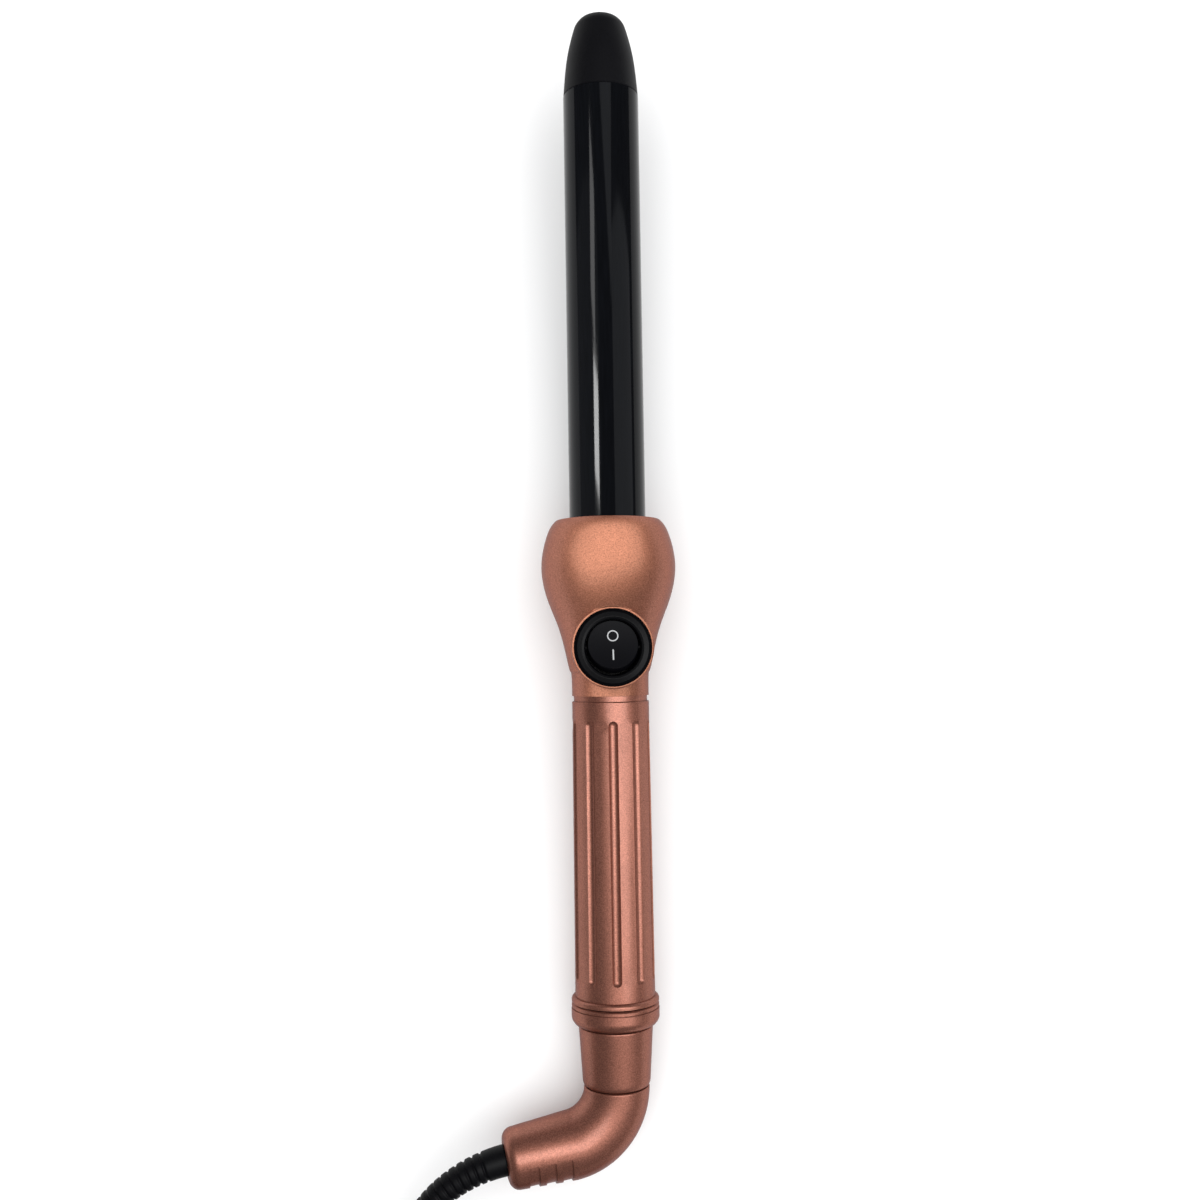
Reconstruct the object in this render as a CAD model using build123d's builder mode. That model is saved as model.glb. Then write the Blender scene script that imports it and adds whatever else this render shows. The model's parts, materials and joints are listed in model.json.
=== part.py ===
from build123d import *
import math
import os

os.makedirs("parts", exist_ok=True)

# Clipless curling wand with a swivel cord outlet, lying on a table with its switch up.
# Row frame: +Z up from the table, +Y towards the tip, millimetres.
# The origin is under the middle of the wand, on the table.
# A station is a distance along the wand's axis from the joint between bulb and grip, + towards the tip.

# ---------------------------------------------------------------- driving dimensions
slack = 0.05  # between fixed pieces that sit in each other
running = 0.06  # radial gap of the swivel and of the switch's trunnions

barrel_r = 12.5
barrel_wall = 1.0
barrel_root_r = 12.1
barrel_root = 31.0
barrel_shows = 59.3
barrel_top = 200.4
tip_top = 227.1
tip_flat_r = 3.6
tip_root = 190.0
tip_root_r = 11.4
tip_wall = 2.2

rim = 59.0
rim_r = 17.0
bulb_r = 21.95
bulb_widest = 43.5
bulb_bottom = 1.8
bulb_wall = 2.5
neck_r = 12.5
cap_r = 16.15
cap_depth = 6.8

core_r = 9.8
core_bore = 8.2
core_top = 5.5
core_bottom = -109.7

grip_top_r = 12.53
grip_end_r = 12.94
grip_end = -94.7
flare_r = 14.15
flare_end = -96.5
flute_count = 10
flute_width = 3.1
flute_depth = 0.9
flute_top = -6.1
flute_end = -89.5

collar_r = 14.25
collar_lip_r = 14.15
collar_lip = 1.2
collar_top = -96.95
collar_end = -103.9
collar_low = -101.0

cuff_top = -104.3
cuff_end = -123.2
cuff_top_r = 12.0
cuff_end_r = 11.0

switch_at = 17.35
boss_r = 13.0
boss_top = 18.4
bezel_r = 12.35
well_r = 8.7
pivot_height = 14.6
rocker_off_angle = 14.0
lever_off_angle = 8.0
lever_pivot_height = 6.0

elbow_r = 10.6
elbow_bore = 8.2
elbow_bend = 17.8
elbow_start = -123.5
outlet_turn_back = 7.8  # degrees that the outlet leans away from the tip
outlet_rise = 9.0  # degrees that the outlet rises from the wand's own level
outlet_reach = 36.8  # from the bend's corner to the end face
outlet_end_r = 9.3
outlet_round = 3.4
outlet_wall = 4.5

cord_d = 6.8
sleeve_root_r = 4.85
sleeve_tip_r = 3.95
sleeve_end = (-58.2, -201.9, 16.65)
lead_route = [
    sleeve_end,
    (-65.6, -215.9, 13.4),
    (-76.0, -232.0, 7.4),
    (-85.6, -250.5, 3.4),
    (-92.6, -267.5, 3.4),
]
coil_centre = (-46.0, -276.0)
coil_r = 40.5
coil_side = 3 * cord_d
tail_route = [
    (-67.5, -318.1, 17.0),
    (-46.5, -329.5, 15.6),
    (-21.0, -337.8, 9.6),
    (-1.2, -334.2, 5.2),
    (14.6, -322.6, 4.0),
    (23.2, -305.0, 5.4),
    (24.0, -286.5, 6.9),
]
plug_x = 24.0
plug_height = 6.9
plug_back = -286.5
plug_sleeve = 16.0
plug_body_length = 34.0
plug_width = 35.0
plug_thick = 13.6
pin_r = 2.0
pin_length = 19.0
pin_spacing = 18.6

# ---------------------------------------------------------------- how the wand lies
# It rests on the bulb and on the collar's lower edge, which tips the axis up towards the tip.
tilt = math.degrees(math.atan((bulb_r - collar_r) / (bulb_widest - collar_low)))
cos_t = math.cos(math.radians(tilt))
sin_t = math.sin(math.radians(tilt))
datum_x = 7.88
datum_y = -36.55
datum_z = bulb_r * cos_t - bulb_widest * sin_t

datum = Vector(datum_x, datum_y, datum_z)
to_tip = Vector(0, cos_t, sin_t)
to_switch = Vector(0, -sin_t, cos_t)
wand_axis = Axis(datum, to_tip)
# Local x is +X, local y is the station, and local z is the height above the wand's axis.
lengthwise = Plane(origin=datum, x_dir=(1, 0, 0), z_dir=to_switch)
# Local y is towards the switch, and the offset is the station.
across = Plane(origin=datum, x_dir=(-1, 0, 0), z_dir=to_tip)


def wand_point(x, station, height=0.0):
    """A point given by its place on the wand."""
    return lengthwise.from_local_coords((x, station, height))


def wand_vector(x, along, up):
    """A direction given in the wand's own directions."""
    return Vector(1, 0, 0) * x + to_tip * along + to_switch * up


def outward(station, angle):
    """The plane on the wand's axis that faces outwards. 0 degrees is +X and 90 is the switch."""
    turn = math.radians(angle)
    return Plane(
        origin=wand_point(0, station),
        x_dir=to_tip,
        z_dir=wand_vector(math.cos(turn), 0, math.sin(turn)),
    )


def ring_section(inner, outer, low, high):
    """The half section of a ring about the wand's axis, between two stations."""
    with Locations(((inner + outer) / 2, (low + high) / 2)):
        Rectangle(outer - inner, high - low)


def arc_radii(route):
    """The radius of the arc at each inner point of a cord's route."""
    points = [Vector(*p) for p in route]
    radii = []
    for a, b, c in zip(points, points[1:], points[2:]):
        turn = (b - a).get_angle(c - b)
        shorter = min((b - a).length, (c - b).length)
        radii.append(0.45 * shorter / math.tan(math.radians(turn / 2)))
    return radii


def facing(a, b):
    """The plane at point a that faces point b."""
    start = Vector(*a)
    return Plane(origin=start, z_dir=Vector(*b) - start)


# ---------------------------------------------------------------- barrel
with BuildPart() as cool_tip:
    with BuildSketch(lengthwise):
        with BuildLine():
            shoulder = (barrel_r - 0.12, barrel_top + 0.3)
            side = Spline(shoulder, (11.85, 206.8), (11.05, 213.2), (9.9, 218.6), (8.6, 223.2))
            nose_points = [side @ 1, (7.5, 225.2), (5.8, 226.6), (tip_flat_r, tip_top)]
            nose = Spline(*nose_points, tangents=[side % 1, (-1, 0.35)])
            Polyline(
                nose @ 1,
                (0, tip_top),
                (0, tip_root),
                (tip_root_r, tip_root),
                (tip_root_r, barrel_top),
                (barrel_r - 0.4, barrel_top),
                shoulder,
            )
        make_face()
    revolve(axis=wand_axis)
    with BuildSketch(lengthwise):
        with BuildLine():
            Polyline(
                (0, tip_root),
                (tip_root_r - tip_wall, tip_root),
                (tip_root_r - tip_wall, 205),
                (8.0, 214),
                (5.0, 221),
                (0, 222),
                close=True,
            )
        make_face()
    revolve(axis=wand_axis, mode=Mode.SUBTRACT)
cool_tip.part.label = "cool_tip"
export_step(cool_tip.part, "parts/cool_tip.step")

holder_screw_at = 38.0
holder_screw_r = 1.25
holder_r = 15.6
holder_floor = 2.2
wire_way_r = 6.0
screw_angles = (90, 210, 330)

with BuildPart() as barrel_tube:
    with BuildSketch(lengthwise):
        ring_section(barrel_r - barrel_wall, barrel_root_r, barrel_root, barrel_shows)
        ring_section(barrel_r - barrel_wall, barrel_r, barrel_shows, barrel_top)
    revolve(axis=wand_axis)
    end_edges = barrel_tube.edges().filter_by(GeomType.CIRCLE).sort_by(wand_axis)[-2:]
    chamfer(end_edges.sort_by(SortBy.RADIUS)[-1], 0.3)
    for angle in screw_angles:
        with BuildSketch(outward(holder_screw_at, angle).offset(barrel_r - 3)):
            Circle(holder_screw_r + slack)
        extrude(amount=6, mode=Mode.SUBTRACT)
barrel_tube.part.label = "barrel_tube"
export_step(barrel_tube.part, "parts/barrel_tube.step")

with BuildPart() as barrel_holder:
    with BuildSketch(lengthwise):
        ring_section(barrel_root_r + slack, holder_r, barrel_root - slack, rim - cap_depth)
        ring_section(wire_way_r, holder_r, barrel_root - holder_floor, barrel_root - slack)
    revolve(axis=wand_axis)
    for angle in screw_angles:
        with BuildSketch(outward(holder_screw_at, angle).offset(barrel_r - 3)):
            Circle(holder_screw_r + slack)
        extrude(amount=8, mode=Mode.SUBTRACT)
barrel_holder.part.label = "barrel_holder"
export_step(barrel_holder.part, "parts/barrel_holder.step")

screw_head_r = 2.3
screw_head = 1.3

with BuildPart() as holder_screws:
    for angle in screw_angles:
        side = outward(holder_screw_at, angle)
        with BuildSketch(side.offset(barrel_r - barrel_wall - 0.8)):
            Circle(holder_screw_r)
        extrude(amount=holder_r - barrel_r + barrel_wall + 0.8)
        with BuildSketch(side.offset(holder_r)):
            Circle(screw_head_r)
        extrude(amount=screw_head)
        with BuildSketch(side.offset(holder_r + screw_head)):
            Rectangle(0.6, 2 * screw_head_r)
        extrude(amount=-0.5, mode=Mode.SUBTRACT)
holder_screws.part.label = "holder_screws"
export_step(holder_screws.part, "parts/holder_screws.step")

# ---------------------------------------------------------------- heater, inside the barrel
heater_half = 0.65
heater_width = 12.0
heater_low = 84.0
heater_high = 154.0
film = 0.2
spreader_r = barrel_r - barrel_wall - slack
spreader_wall = 1.4
spreader_low = 76.0
spreader_high = 164.0
web_gap = heater_half + film + slack
web = 1.5

with BuildPart() as heater_plate:
    with BuildSketch(lengthwise):
        with Locations((0, (heater_low + heater_high) / 2)):
            RectangleRounded(heater_width, heater_high - heater_low, 1.0)
    extrude(amount=heater_half, both=True)
heater_plate.part.label = "heater_plate"
export_step(heater_plate.part, "parts/heater_plate.step")

with BuildPart() as heater_film:
    with BuildSketch(across.offset(heater_low - 3)):
        Rectangle(heater_width + 2 * film, 2 * (heater_half + film))
        Rectangle(heater_width, 2 * heater_half, mode=Mode.SUBTRACT)
    extrude(amount=heater_high - heater_low + 6)
heater_film.part.label = "heater_film"
export_step(heater_film.part, "parts/heater_film.step")


def spreader_section(side):
    """A half tube with a flat web across it. side is 1 for the half towards the switch, else -1."""
    Circle(spreader_r)
    Circle(spreader_r - spreader_wall, mode=Mode.SUBTRACT)
    with Locations((0, side * (web_gap + web / 2))):
        Rectangle(2 * spreader_r - 1.2, web)
    with Locations((0, side * (web_gap - spreader_r))):
        Rectangle(4 * spreader_r, 2 * spreader_r, mode=Mode.SUBTRACT)


with BuildPart() as spreader_upper:
    with BuildSketch(across.offset(spreader_low)):
        spreader_section(1)
    extrude(amount=spreader_high - spreader_low)
spreader_upper.part.label = "spreader_upper"
export_step(spreader_upper.part, "parts/spreader_upper.step")

with BuildPart() as spreader_lower:
    with BuildSketch(across.offset(spreader_low)):
        spreader_section(-1)
    extrude(amount=spreader_high - spreader_low)
spreader_lower.part.label = "spreader_lower"
export_step(spreader_lower.part, "parts/spreader_lower.step")

# Two bowed strips between the webs, beside the heater.
spring_x = 8.4
spring_strip = 0.3
spring_rise = web_gap - 0.35

with BuildPart() as spreader_springs:
    for x in (-spring_x, spring_x):
        with BuildSketch(Plane(origin=wand_point(x, 0), x_dir=to_tip, z_dir=(1, 0, 0))):
            with BuildLine():
                low = ThreePointArc((100, spring_rise), (119, -spring_rise), (138, spring_rise))
                high = ThreePointArc(
                    (100, spring_rise + spring_strip),
                    (119, spring_strip - spring_rise),
                    (138, spring_rise + spring_strip),
                )
                Line(low @ 0, high @ 0)
                Line(low @ 1, high @ 1)
            make_face()
        extrude(amount=1.5, both=True)
spreader_springs.part.label = "spreader_springs"
export_step(spreader_springs.part, "parts/spreader_springs.step")

fuse_at = (4.0, 56.0)
fuse_height = 3.5
fuse_r = 2.0
fuse_length = 11.0
fuse_centre = wand_point(fuse_at[0], fuse_at[1], fuse_height)

with BuildPart() as thermal_fuse:
    with BuildSketch(Plane(origin=fuse_centre, z_dir=to_tip)):
        Circle(fuse_r)
    extrude(amount=fuse_length)
    fillet(thermal_fuse.edges().filter_by(GeomType.CIRCLE), 0.5)
thermal_fuse.part.label = "thermal_fuse"
export_step(thermal_fuse.part, "parts/thermal_fuse.step")

with BuildPart() as fuse_sleeve:
    with BuildSketch(Plane(origin=fuse_centre - to_tip * 3, z_dir=to_tip)):
        Circle(fuse_r + 0.6)
        Circle(fuse_r + slack, mode=Mode.SUBTRACT)
    extrude(amount=fuse_length + 6)
fuse_sleeve.part.label = "fuse_sleeve"
export_step(fuse_sleeve.part, "parts/fuse_sleeve.step")

# ---------------------------------------------------------------- bulb
# Points are (radius, station).
bulb_side = [
    (rim_r + 0.35, rim - 0.3),
    (20.5, 52.7),
    (bulb_r, bulb_widest),
    (20.0, 33.0),
    (15.75, 21.2),
    (13.05, 9.8),
    (neck_r, bulb_bottom),
]
cavity_mouth = (cap_r + slack, rim - cap_depth - 0.4)
cavity_side = [
    (18.4, 50.0),
    (bulb_r - bulb_wall, bulb_widest),
    (17.6, 33.5),
    (13.3, 22.0),
    (11.0, 12.0),
    (core_r + slack, core_top + 0.4),
]

with BuildPart() as bulb_housing:
    with BuildSketch(lengthwise):
        with BuildLine():
            flank = Spline(*bulb_side, tangents=[(0.75, -0.7), (0, -1)])
            Polyline(flank @ 1, (0, bulb_bottom), (0, rim), (rim_r, rim), flank @ 0)
        make_face()
    revolve(axis=wand_axis)
    # The boss that carries the switch, with a narrow gap where it sinks into the bulb's flank.
    with BuildSketch(lengthwise):
        with Locations((0, switch_at)):
            Circle(boss_r)
    extrude(amount=boss_top)
    with BuildSketch(lengthwise.offset(boss_top)):
        with Locations((0, switch_at)):
            Circle(boss_r + 0.3)
    extrude(amount=bulb_r - boss_top + 1, mode=Mode.SUBTRACT)
    with BuildSketch(lengthwise.offset(boss_top - 0.9)):
        with Locations((0, switch_at)):
            Circle(boss_r + 0.3)
            Circle(boss_r, mode=Mode.SUBTRACT)
    extrude(amount=bulb_r - boss_top + 1, mode=Mode.SUBTRACT)
    boss_edge = bulb_housing.edges().filter_by(GeomType.CIRCLE).group_by(Axis(datum, to_switch))[-1]
    fillet(boss_edge.sort_by(SortBy.RADIUS)[-1], 0.45)
    with BuildSketch(lengthwise):
        with BuildLine():
            inside = Line((cap_r + slack, rim + 1), cavity_mouth)
            hollow = Spline(cavity_mouth, *cavity_side)
            Polyline(
                hollow @ 1,
                (core_r + slack, bulb_bottom - 1),
                (0, bulb_bottom - 1),
                (0, rim + 1),
                inside @ 0,
            )
        make_face()
    revolve(axis=wand_axis, mode=Mode.SUBTRACT)
    with BuildSketch(lengthwise.offset(boss_top + 1)):
        with Locations((0, switch_at)):
            Circle(bezel_r + slack)
    extrude(amount=-2.2, mode=Mode.SUBTRACT)
    with BuildSketch(lengthwise.offset(boss_top + 1)):
        with Locations((0, switch_at)):
            Circle(10.0)
    extrude(amount=-boss_top, mode=Mode.SUBTRACT)
bulb_housing.part.label = "bulb_housing"
export_step(bulb_housing.part, "parts/bulb_housing.step")

with BuildPart() as bulb_cap:
    with BuildSketch(lengthwise):
        ring_section(cap_r - 1.3, cap_r, rim - cap_depth, rim - 2)
        ring_section(barrel_r + 0.25, cap_r, rim - 2, rim)
    revolve(axis=wand_axis)
    top_edges = bulb_cap.edges().filter_by(GeomType.CIRCLE).sort_by(wand_axis)[-2:]
    fillet(top_edges, 0.3)
bulb_cap.part.label = "bulb_cap"
export_step(bulb_cap.part, "parts/bulb_cap.step")

with BuildPart() as spacer_ring:
    with BuildSketch(lengthwise):
        ring_section(core_r + slack, neck_r - 0.55, slack, bulb_bottom - slack)
    revolve(axis=wand_axis)
spacer_ring.part.label = "spacer_ring"
export_step(spacer_ring.part, "parts/spacer_ring.step")

# ---------------------------------------------------------------- switch
switch_axis = Axis(wand_point(0, switch_at), to_switch)
# Local x is +X and local y is the height above the wand's axis, in the plane across the switch.
switch_section = Plane(origin=wand_point(0, switch_at), x_dir=(1, 0, 0), z_dir=-to_tip)
bezel_top = boss_top + 0.7
skirt_low = 12.2
skirt_r = 9.3
switch_body_r = 9.8
switch_body_low = 1.5
blade_width = 4.8
blade_thick = 0.8
blade_pitch = 5.8
blade_low = -6.0
# The heights of the two blades' tops: one under the lever's pivot and one under its contact.
blade_tops = (5.4, 4.15)
trunnion_r = 1.2

with BuildPart() as switch_bezel:
    with BuildSketch(switch_section):
        with BuildLine():
            Polyline(
                (well_r, skirt_low),
                (well_r, bezel_top - 0.7),
                (well_r + 0.35, bezel_top - 0.2),
                (well_r + 1.1, bezel_top),
                (bezel_r - 1.1, bezel_top - 0.25),
                (bezel_r - 0.1, boss_top - 0.2),
                (bezel_r - 0.1, boss_top - 1.2),
                (skirt_r, boss_top - 1.2),
                (skirt_r, skirt_low),
                close=True,
            )
        make_face()
    revolve(axis=switch_axis)
    crest = switch_bezel.edges().filter_by(GeomType.CIRCLE).group_by(Axis(datum, to_switch))
    fillet(crest[-1] + crest[-2], 0.3)
    with BuildSketch(Plane(origin=wand_point(0, switch_at, pivot_height), z_dir=(1, 0, 0))):
        Circle(trunnion_r + running)
    extrude(amount=bezel_r, both=True, mode=Mode.SUBTRACT)
switch_bezel.part.label = "switch_bezel"
export_step(switch_bezel.part, "parts/switch_bezel.step")

with BuildPart() as switch_body:
    with BuildSketch(switch_section):
        with BuildLine():
            Polyline(
                (0, switch_body_low),
                (switch_body_r, switch_body_low),
                (switch_body_r, boss_top - 1.2 - slack),
                (skirt_r + slack, boss_top - 1.2 - slack),
                (skirt_r + slack, skirt_low - 0.1),
                (8.9, skirt_low - 0.1),
                (8.9, switch_body_low + 1.6),
                (0, switch_body_low + 1.6),
                close=True,
            )
        make_face()
    revolve(axis=switch_axis)
    with BuildSketch(lengthwise.offset(switch_body_low - 1)):
        with Locations((0, switch_at), (0, switch_at + blade_pitch)):
            Rectangle(blade_width + 2 * slack, blade_thick + 2 * slack)
    extrude(amount=4, mode=Mode.SUBTRACT)
switch_body.part.label = "switch_body"
export_step(switch_body.part, "parts/switch_body.step")

with BuildPart() as switch_terminals:
    for along, top in zip((0, blade_pitch), blade_tops):
        with BuildSketch(lengthwise.offset(blade_low)):
            with Locations((0, switch_at + along)):
                Rectangle(blade_width, blade_thick)
        extrude(amount=top - blade_low)
    with BuildSketch(Plane(origin=wand_point(0, switch_at, -3.5), z_dir=to_tip)):
        Circle(0.8)
    extrude(amount=10, both=True, mode=Mode.SUBTRACT)
switch_terminals.part.label = "switch_terminals"
export_step(switch_terminals.part, "parts/switch_terminals.step")

off = math.radians(rocker_off_angle)
rocker_up = wand_vector(0, math.sin(off), math.cos(off))
rocker_pivot = wand_point(0, switch_at, pivot_height)
# Local z leaves the button's face, and local y is towards the tip.
rocker_plane = Plane(origin=rocker_pivot, x_dir=(1, 0, 0), z_dir=rocker_up)
rocker_section = Plane(origin=rocker_pivot, x_dir=(1, 0, 0), z_dir=-rocker_plane.y_dir)
button_r = 7.75
button_top = 4.2
dish_r = 60.0
stem_low = -5.0

with BuildPart() as rocker_button:
    with BuildSketch(rocker_section):
        with BuildLine():
            Polyline(
                (0, -trunnion_r),
                (8.05, -trunnion_r),
                (8.3, 0),
                (8.1, 2.2),
                (button_r, button_top),
                (0, button_top),
                close=True,
            )
        make_face()
    revolve(axis=Axis(rocker_pivot, rocker_up))
    rim_edge = rocker_button.edges().filter_by(GeomType.CIRCLE).group_by(Axis(rocker_pivot, rocker_up))[-1]
    fillet(rim_edge, 0.4)
    # The face is slightly dished from the O end to the I end.
    dish_axis_at = rocker_pivot + rocker_up * (button_top + dish_r - 0.5)
    with BuildSketch(Plane(origin=dish_axis_at, z_dir=(1, 0, 0))):
        Circle(dish_r)
    extrude(amount=10, both=True, mode=Mode.SUBTRACT)
    with BuildSketch(rocker_plane.offset(stem_low)):
        Circle(2.4)
    extrude(amount=-stem_low)
    with BuildSketch(rocker_plane.offset(stem_low)):
        Circle(1.5)
    extrude(amount=4.6, mode=Mode.SUBTRACT)
    for way in (-1, 1):
        with BuildSketch(Plane(origin=rocker_pivot, z_dir=(way, 0, 0)).offset(7.6)):
            Circle(trunnion_r)
        extrude(amount=1.55)
rocker_button.part.label = "rocker_button"
export_step(rocker_button.part, "parts/rocker_button.step")

plunger_tip = -8.1

with BuildPart() as plunger_pin:
    with BuildSketch(rocker_plane.offset(plunger_tip + 1.4)):
        Circle(1.4)
    extrude(amount=2.6)
    with Locations(Plane(origin=rocker_pivot + rocker_up * (plunger_tip + 1.4), z_dir=rocker_up)):
        Sphere(1.4)
plunger_pin.part.label = "plunger_pin"
export_step(plunger_pin.part, "parts/plunger_pin.step")

spring_wire_r = 0.18
spring_r = 1.15
spring_low = -4.0
spring_height = 3.3

with BuildPart() as plunger_spring:
    with BuildLine():
        foot = rocker_pivot + rocker_up * spring_low
        coils = Helix(pitch=0.66, height=spring_height, radius=spring_r, center=foot, direction=rocker_up)
    with BuildSketch(Plane(origin=coils @ 0, z_dir=coils % 0)):
        Circle(spring_wire_r)
    sweep()
plunger_spring.part.label = "plunger_spring"
export_step(plunger_spring.part, "parts/plunger_spring.step")

lever_off = math.radians(lever_off_angle)
lever_pivot = wand_point(0, switch_at, lever_pivot_height)
lever_up = wand_vector(0, -math.sin(lever_off), math.cos(lever_off))

with BuildPart() as contact_lever:
    with BuildSketch(Plane(origin=lever_pivot, x_dir=(1, 0, 0), z_dir=lever_up)):
        RectangleRounded(4.0, 12.4, 0.8)
    extrude(amount=0.3, both=True)
    with BuildSketch(Plane(origin=lever_pivot, x_dir=(1, 0, 0), z_dir=lever_up).offset(-0.9)):
        with Locations((0, 5.0)):
            Circle(1.1)
    extrude(amount=0.7)
    # The round bead that it rocks on.
    with BuildSketch(Plane(origin=lever_pivot, z_dir=(1, 0, 0))):
        Circle(0.5)
    extrude(amount=2.0, both=True)
contact_lever.part.label = "contact_lever"
export_step(contact_lever.part, "parts/contact_lever.step")

# ---------------------------------------------------------------- handle
with BuildPart() as handle_core:
    with BuildSketch(lengthwise):
        ring_section(core_bore, core_r, core_bottom, core_top)
    revolve(axis=wand_axis)
handle_core.part.label = "handle_core"
export_step(handle_core.part, "parts/handle_core.step")

# One flute is cut by a round bar with ball ends, laid along the tapered side.
flute_bar_r = ((flute_width / 2) ** 2 + flute_depth**2) / (2 * flute_depth)
taper = (grip_end_r - grip_top_r) / -grip_end


def flute_end_point(station, inwards):
    """The centre of the bar's end ball, just inside the flute's end."""
    ball = station + inwards * flute_width / 2
    side_r = grip_top_r - taper * ball
    return wand_point(0, ball, side_r - flute_depth + flute_bar_r)


flute_a = flute_end_point(flute_top, -1)
flute_b = flute_end_point(flute_end, 1)

with BuildPart() as flute_bar:
    with BuildSketch(Plane(origin=flute_a, z_dir=flute_b - flute_a)):
        Circle(flute_bar_r)
    extrude(amount=(flute_b - flute_a).length)
    with Locations(flute_a, flute_b):
        Sphere(flute_bar_r)

with BuildPart() as grip_sleeve:
    with BuildSketch(lengthwise):
        with BuildLine():
            bore = core_r + slack
            flare_start = (flare_r, grip_end - (flare_r - grip_end_r))
            Polyline((bore, flare_end), (bore, 0), (grip_top_r, 0), (grip_end_r, grip_end))
            RadiusArc((grip_end_r, grip_end), flare_start, flare_r - grip_end_r)
            Polyline(flare_start, (flare_r, flare_end), (bore, flare_end))
        make_face()
    revolve(axis=wand_axis)
    for flute in range(flute_count):
        add(flute_bar.part.rotate(wand_axis, flute * 360 / flute_count), mode=Mode.SUBTRACT)
    round_edges = grip_sleeve.edges().filter_by(GeomType.CIRCLE).sort_by(wand_axis)
    fillet(round_edges[-2:].sort_by(SortBy.RADIUS)[-1], 0.3)
grip_sleeve.part.label = "grip_sleeve"
export_step(grip_sleeve.part, "parts/grip_sleeve.step")

with BuildPart() as end_collar:
    with BuildSketch(lengthwise):
        with BuildLine():
            bore = core_r + slack
            lip_base = collar_top - collar_lip
            Polyline(
                (12.3, collar_end),
                (bore, collar_end),
                (bore, collar_top),
                (collar_lip_r - 0.5, collar_top),
                (collar_lip_r, collar_top - 0.45),
                (collar_lip_r, lip_base),
                (collar_lip_r - 0.4, lip_base - 0.05),
                (collar_lip_r - 0.4, lip_base - 0.25),
                (collar_r - 0.1, lip_base - 0.3),
                (collar_r, lip_base - 0.5),
                (collar_r, collar_low),
            )
            heel_points = [(collar_r, collar_low), (13.55, -103.0), (12.3, collar_end)]
            Spline(*heel_points, tangents=[(0, -1), (-1, -0.3)])
        make_face()
    revolve(axis=wand_axis)
end_collar.part.label = "end_collar"
export_step(end_collar.part, "parts/end_collar.step")

# ---------------------------------------------------------------- swivel
lip_bore = 8.6
lip_top = -119.4
spigot_r = lip_bore - running
spigot_top = -111.5
clip_low = -118.7
clip_high = -117.7
clip_groove_r = 7.9

with BuildPart() as swivel_cuff:
    with BuildSketch(lengthwise):
        with BuildLine():
            Polyline(
                (lip_bore, cuff_end),
                (lip_bore, lip_top),
                (core_r + slack, lip_top),
                (core_r + slack, cuff_top),
                (cuff_top_r - 0.5, cuff_top),
            )
            Spline(
                (cuff_top_r - 0.5, cuff_top),
                (cuff_top_r, cuff_top - 0.5),
                tangents=[(1, 0), (0, -1)],
            )
            Line((cuff_top_r, cuff_top - 0.5), (cuff_end_r, cuff_end + 2.2))
            Spline(
                (cuff_end_r, cuff_end + 2.2),
                (cuff_end_r - 0.85, cuff_end),
                tangents=[(-0.05, -1), (-0.9, -0.45)],
            )
            Line((cuff_end_r - 0.85, cuff_end), (lip_bore, cuff_end))
        make_face()
    revolve(axis=wand_axis)
swivel_cuff.part.label = "swivel_cuff"
export_step(swivel_cuff.part, "parts/swivel_cuff.step")

with BuildPart() as swivel_washer:
    with BuildSketch(lengthwise):
        ring_section(lip_bore, core_r, lip_top, lip_top + 0.5)
    revolve(axis=wand_axis)
swivel_washer.part.label = "swivel_washer"
export_step(swivel_washer.part, "parts/swivel_washer.step")

with BuildPart() as swivel_clip:
    with BuildSketch(lengthwise):
        ring_section(clip_groove_r + slack, core_r - 0.3, clip_low + 0.08, clip_high - 0.08)
    revolve(axis=wand_axis)
    with BuildSketch(outward(clip_low, 90)):
        Rectangle(6, 4)
    extrude(amount=2 * core_r, mode=Mode.SUBTRACT)
swivel_clip.part.label = "swivel_clip"
export_step(swivel_clip.part, "parts/swivel_clip.step")

# The outlet's direction: it leans back from the wand's axis and rises a little towards the switch side.
back = math.radians(outlet_turn_back)
rise = math.radians(outlet_rise)
outlet_dir = wand_vector(
    -math.cos(back) * math.cos(rise), -math.sin(back) * math.cos(rise), math.sin(rise)
)
elbow_turn = (-to_tip).get_angle(outlet_dir)
bend_reach = elbow_bend * math.tan(math.radians(elbow_turn / 2))
elbow_corner = wand_point(0, elbow_start - bend_reach - 0.2)
bend_end = elbow_corner + outlet_dir * bend_reach
elbow_end = elbow_corner + outlet_dir * outlet_reach
# The outer side of the bend, across the outlet.
outlet_outer = (-to_tip - outlet_dir * (-to_tip).dot(outlet_dir)).normalized()
bend_normal = outlet_dir.cross(to_tip).normalized()
outlet_taper = (elbow_r - outlet_end_r) / (outlet_reach - bend_reach)
stem_r = 6.4
clamp_screw_out = 5.9
clamp_screw_r = 0.9

with BuildPart() as elbow_shell:
    with BuildLine():
        bend_start = elbow_corner + to_tip * bend_reach
        Line(wand_point(0, elbow_start), bend_start)
        TangentArc(bend_start, bend_end, tangent=-to_tip)
    with BuildSketch(Plane(origin=wand_point(0, elbow_start), z_dir=-to_tip)):
        Circle(elbow_r)
    sweep()
    with BuildSketch(Plane(origin=bend_end, z_dir=outlet_dir)):
        Circle(elbow_r)
    extrude(amount=outlet_reach - bend_reach, taper=math.degrees(math.atan(outlet_taper)))
    ends = elbow_shell.edges().filter_by(GeomType.CIRCLE)
    fillet(ends.sort_by_distance(elbow_end)[0], outlet_round)
    ends = elbow_shell.edges().filter_by(GeomType.CIRCLE)
    fillet(ends.sort_by_distance(wand_point(0, elbow_start))[0], 0.5)

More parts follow.
